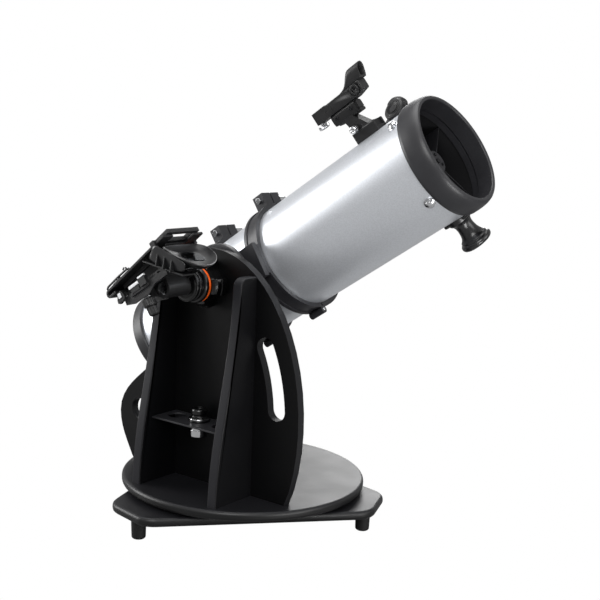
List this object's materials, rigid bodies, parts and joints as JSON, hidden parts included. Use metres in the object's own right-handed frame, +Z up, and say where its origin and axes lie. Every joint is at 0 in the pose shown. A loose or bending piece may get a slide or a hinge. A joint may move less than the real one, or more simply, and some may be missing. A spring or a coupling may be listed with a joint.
{
  "type": "dobsonian telescope",
  "caption": "Tabletop reflector telescope on a single-arm turntable base, with clamp rings, focuser, reflex finder and a phone dock with a mirror on the altitude spindle.",
  "frame": {"origin": "on the azimuth axis, on the surface that the feet stand on", "axes": "+Z up along the azimuth axis; the altitude axis is parallel to X at z = 0.423 m; the tube points towards -Y and up; the arm and the dock are on the -X side"},
  "size_m": [0.4663, 0.6804, 0.7756],
  "materials": {
    "board": "black melamine laminate on particle board, satin",
    "foot": "moulded rubber",
    "pad": "low-friction plastic",
    "bolt_steel": "zinc plated",
    "bush": "plain bearing bronze",
    "black_plastic": "fine spark-eroded grain",
    "gloss_black": "polished moulding",
    "black_cast": "satin black powder coat on cast aluminium",
    "tube_silver": "metallic silver paint, clear coat",
    "chrome": "polished plating",
    "mirror": "front-surface aluminium coating",
    "felt": "pressed felt",
    "orange": "satin moulding",
    "lens": "coated lens"
  },
  "bodies": {
    "ground": {"ground_board": "board", "feet": "foot", "glide_pads": "pad", "pivot_bolt": "bolt_steel", "pivot_nut": "black_plastic"},
    "rocker": {"turntable": "board", "pivot_bush": "bush", "base_screws": "bolt_steel", "side_arm": "board", "front_rib": "board", "rear_rib": "board", "accessory_tray": "black_cast", "altitude_bush": "bush"},
    "spare_eyepiece": {"spare_eyepiece": "black_plastic", "spare_barrel": "chrome"},
    "tension_knob": {"tension_knob": "black_plastic"},
    "cradle": {"altitude_disc": "black_cast", "altitude_spindle": "chrome", "mounting_plate": "black_cast", "front_clamp_cradle": "black_cast", "front_clamp_cap": "black_cast", "rear_clamp_cradle": "black_cast", "rear_clamp_cap": "black_cast", "clamp_felts": "felt", "clamp_pins": "chrome", "clamp_bolts": "chrome", "dock_hub": "gloss_black", "index_ring": "orange", "dock_base": "black_plastic", "mirror_housing": "gloss_black", "dock_mirror": "mirror"},
    "cross_slide": {"cross_slide": "black_plastic"},
    "phone_tray": {"phone_tray": "black_plastic"},
    "phone_jaw": {"phone_jaw": "black_plastic"},
    "dock_knob": {"dock_knob": "black_plastic"},
    "tube": {"tube_shell": "tube_silver", "front_end_ring": "black_cast", "rear_end_ring": "black_cast", "mirror_cell": "black_cast", "mirror_clips": "black_plastic", "primary_mirror": "mirror", "collimation_springs": "bolt_steel", "spider": "black_cast", "spider_nuts": "chrome", "diagonal_holder": "black_plastic", "diagonal_mirror": "mirror", "diagonal_screws": "chrome", "focuser_body": "black_cast", "finder_shoe": "black_plastic", "pull_handle": "gloss_black"},
    "collimation_knob_1": {"collimation_knob_1": "black_plastic"},
    "collimation_knob_2": {"collimation_knob_2": "black_plastic"},
    "collimation_knob_3": {"collimation_knob_3": "black_plastic"},
    "draw_tube": {"draw_tube": "chrome"},
    "focus_shaft": {"focus_shaft": "black_plastic"},
    "focuser_screw": {"focuser_screw": "chrome"},
    "eyepiece": {"eyepiece": "black_plastic"},
    "finder": {"finder_mount": "black_plastic", "finder_body": "black_plastic", "finder_lens": "lens"}
  },
  "joints": [
    {"name": "azimuth", "type": "hinge", "parent": "ground", "child": "rocker", "pos_m": [0, 0, 0.068], "axis": [0, 0, 1], "continuous": true},
    {"name": "altitude", "type": "hinge", "parent": "rocker", "child": "cradle", "pos_m": [-0.0865, 0, 0.423], "axis": [-1, 0, 0], "range_deg": [-33, 57]},
    {"name": "tube_roll", "type": "hinge", "parent": "cradle", "child": "tube", "pos_m": [0.0566, 0, 0.423], "axis": [0, -0.8387, 0.5446], "range_deg": [-90, 90]},
    {"name": "spare_eyepiece_lift", "type": "slide", "parent": "rocker", "child": "spare_eyepiece", "axis": [0, 0, 1], "range_m": [0, 0.06]},
    {"name": "tension_knob_turn", "type": "hinge", "parent": "cradle", "child": "tension_knob", "pos_m": [-0.107, 0, 0.423], "axis": [-1, 0, 0], "range_deg": [-180, 180]},
    {"name": "cross_slide_shift", "type": "slide", "parent": "cradle", "child": "cross_slide", "axis": [-1, 0, 0], "range_m": [-0.005, 0.005]},
    {"name": "phone_tray_shift", "type": "slide", "parent": "cross_slide", "child": "phone_tray", "axis": [0, -0.7771, 0.6293], "range_m": [-0.01, 0.01]},
    {"name": "phone_jaw_shift", "type": "slide", "parent": "phone_tray", "child": "phone_jaw", "axis": [0, -0.7771, 0.6293], "range_m": [0, 0.02]},
    {"name": "dock_knob_turn", "type": "hinge", "parent": "cradle", "child": "dock_knob", "pos_m": [-0.223, 0.02097, 0.40938], "axis": [0, -0.5446, -0.8387], "range_deg": [-180, 180]},
    {"name": "focus_turn", "type": "hinge", "parent": "tube", "child": "focus_shaft", "pos_m": [0.1106, -0.23672, 0.68825], "axis": [0.866, -0.2723, -0.4193], "range_deg": [-115, 144]},
    {"name": "focus_slide", "type": "slide", "parent": "tube", "child": "draw_tube", "axis": [0.5, 0.4717, 0.7263], "range_m": [-0.012, 0.015]},
    {"name": "eyepiece_lift", "type": "slide", "parent": "draw_tube", "child": "eyepiece", "axis": [0.5, 0.4717, 0.7263], "range_m": [0, 0.04]},
    {"name": "focuser_screw_turn", "type": "hinge", "parent": "draw_tube", "child": "focuser_screw", "pos_m": [0.1291, -0.19998, 0.7026], "axis": [0.2962, -0.8812, 0.3684], "range_deg": [-180, 180]},
    {"name": "finder_slide", "type": "slide", "parent": "tube", "child": "finder", "axis": [0, 0.8387, -0.5446], "range_m": [0, 0.05]},
    {"name": "collimation_knob_1_turn", "type": "hinge", "parent": "tube", "child": "collimation_knob_1", "pos_m": [0.0566, 0.26642, 0.31914], "axis": [0, -0.8387, 0.5446], "range_deg": [-180, 180]},
    {"name": "collimation_knob_2_turn", "type": "hinge", "parent": "tube", "child": "collimation_knob_2", "pos_m": [0.00637, 0.21903, 0.24618], "axis": [0, -0.8387, 0.5446], "range_deg": [-180, 180]},
    {"name": "collimation_knob_3_turn", "type": "hinge", "parent": "tube", "child": "collimation_knob_3", "pos_m": [0.10683, 0.21903, 0.24618], "axis": [0, -0.8387, 0.5446], "range_deg": [-180, 180]}
  ],
  "couplings": [
    {"joint": "focus_turn", "follows": "focus_slide", "rad_per_m": 166.67}
  ]
}
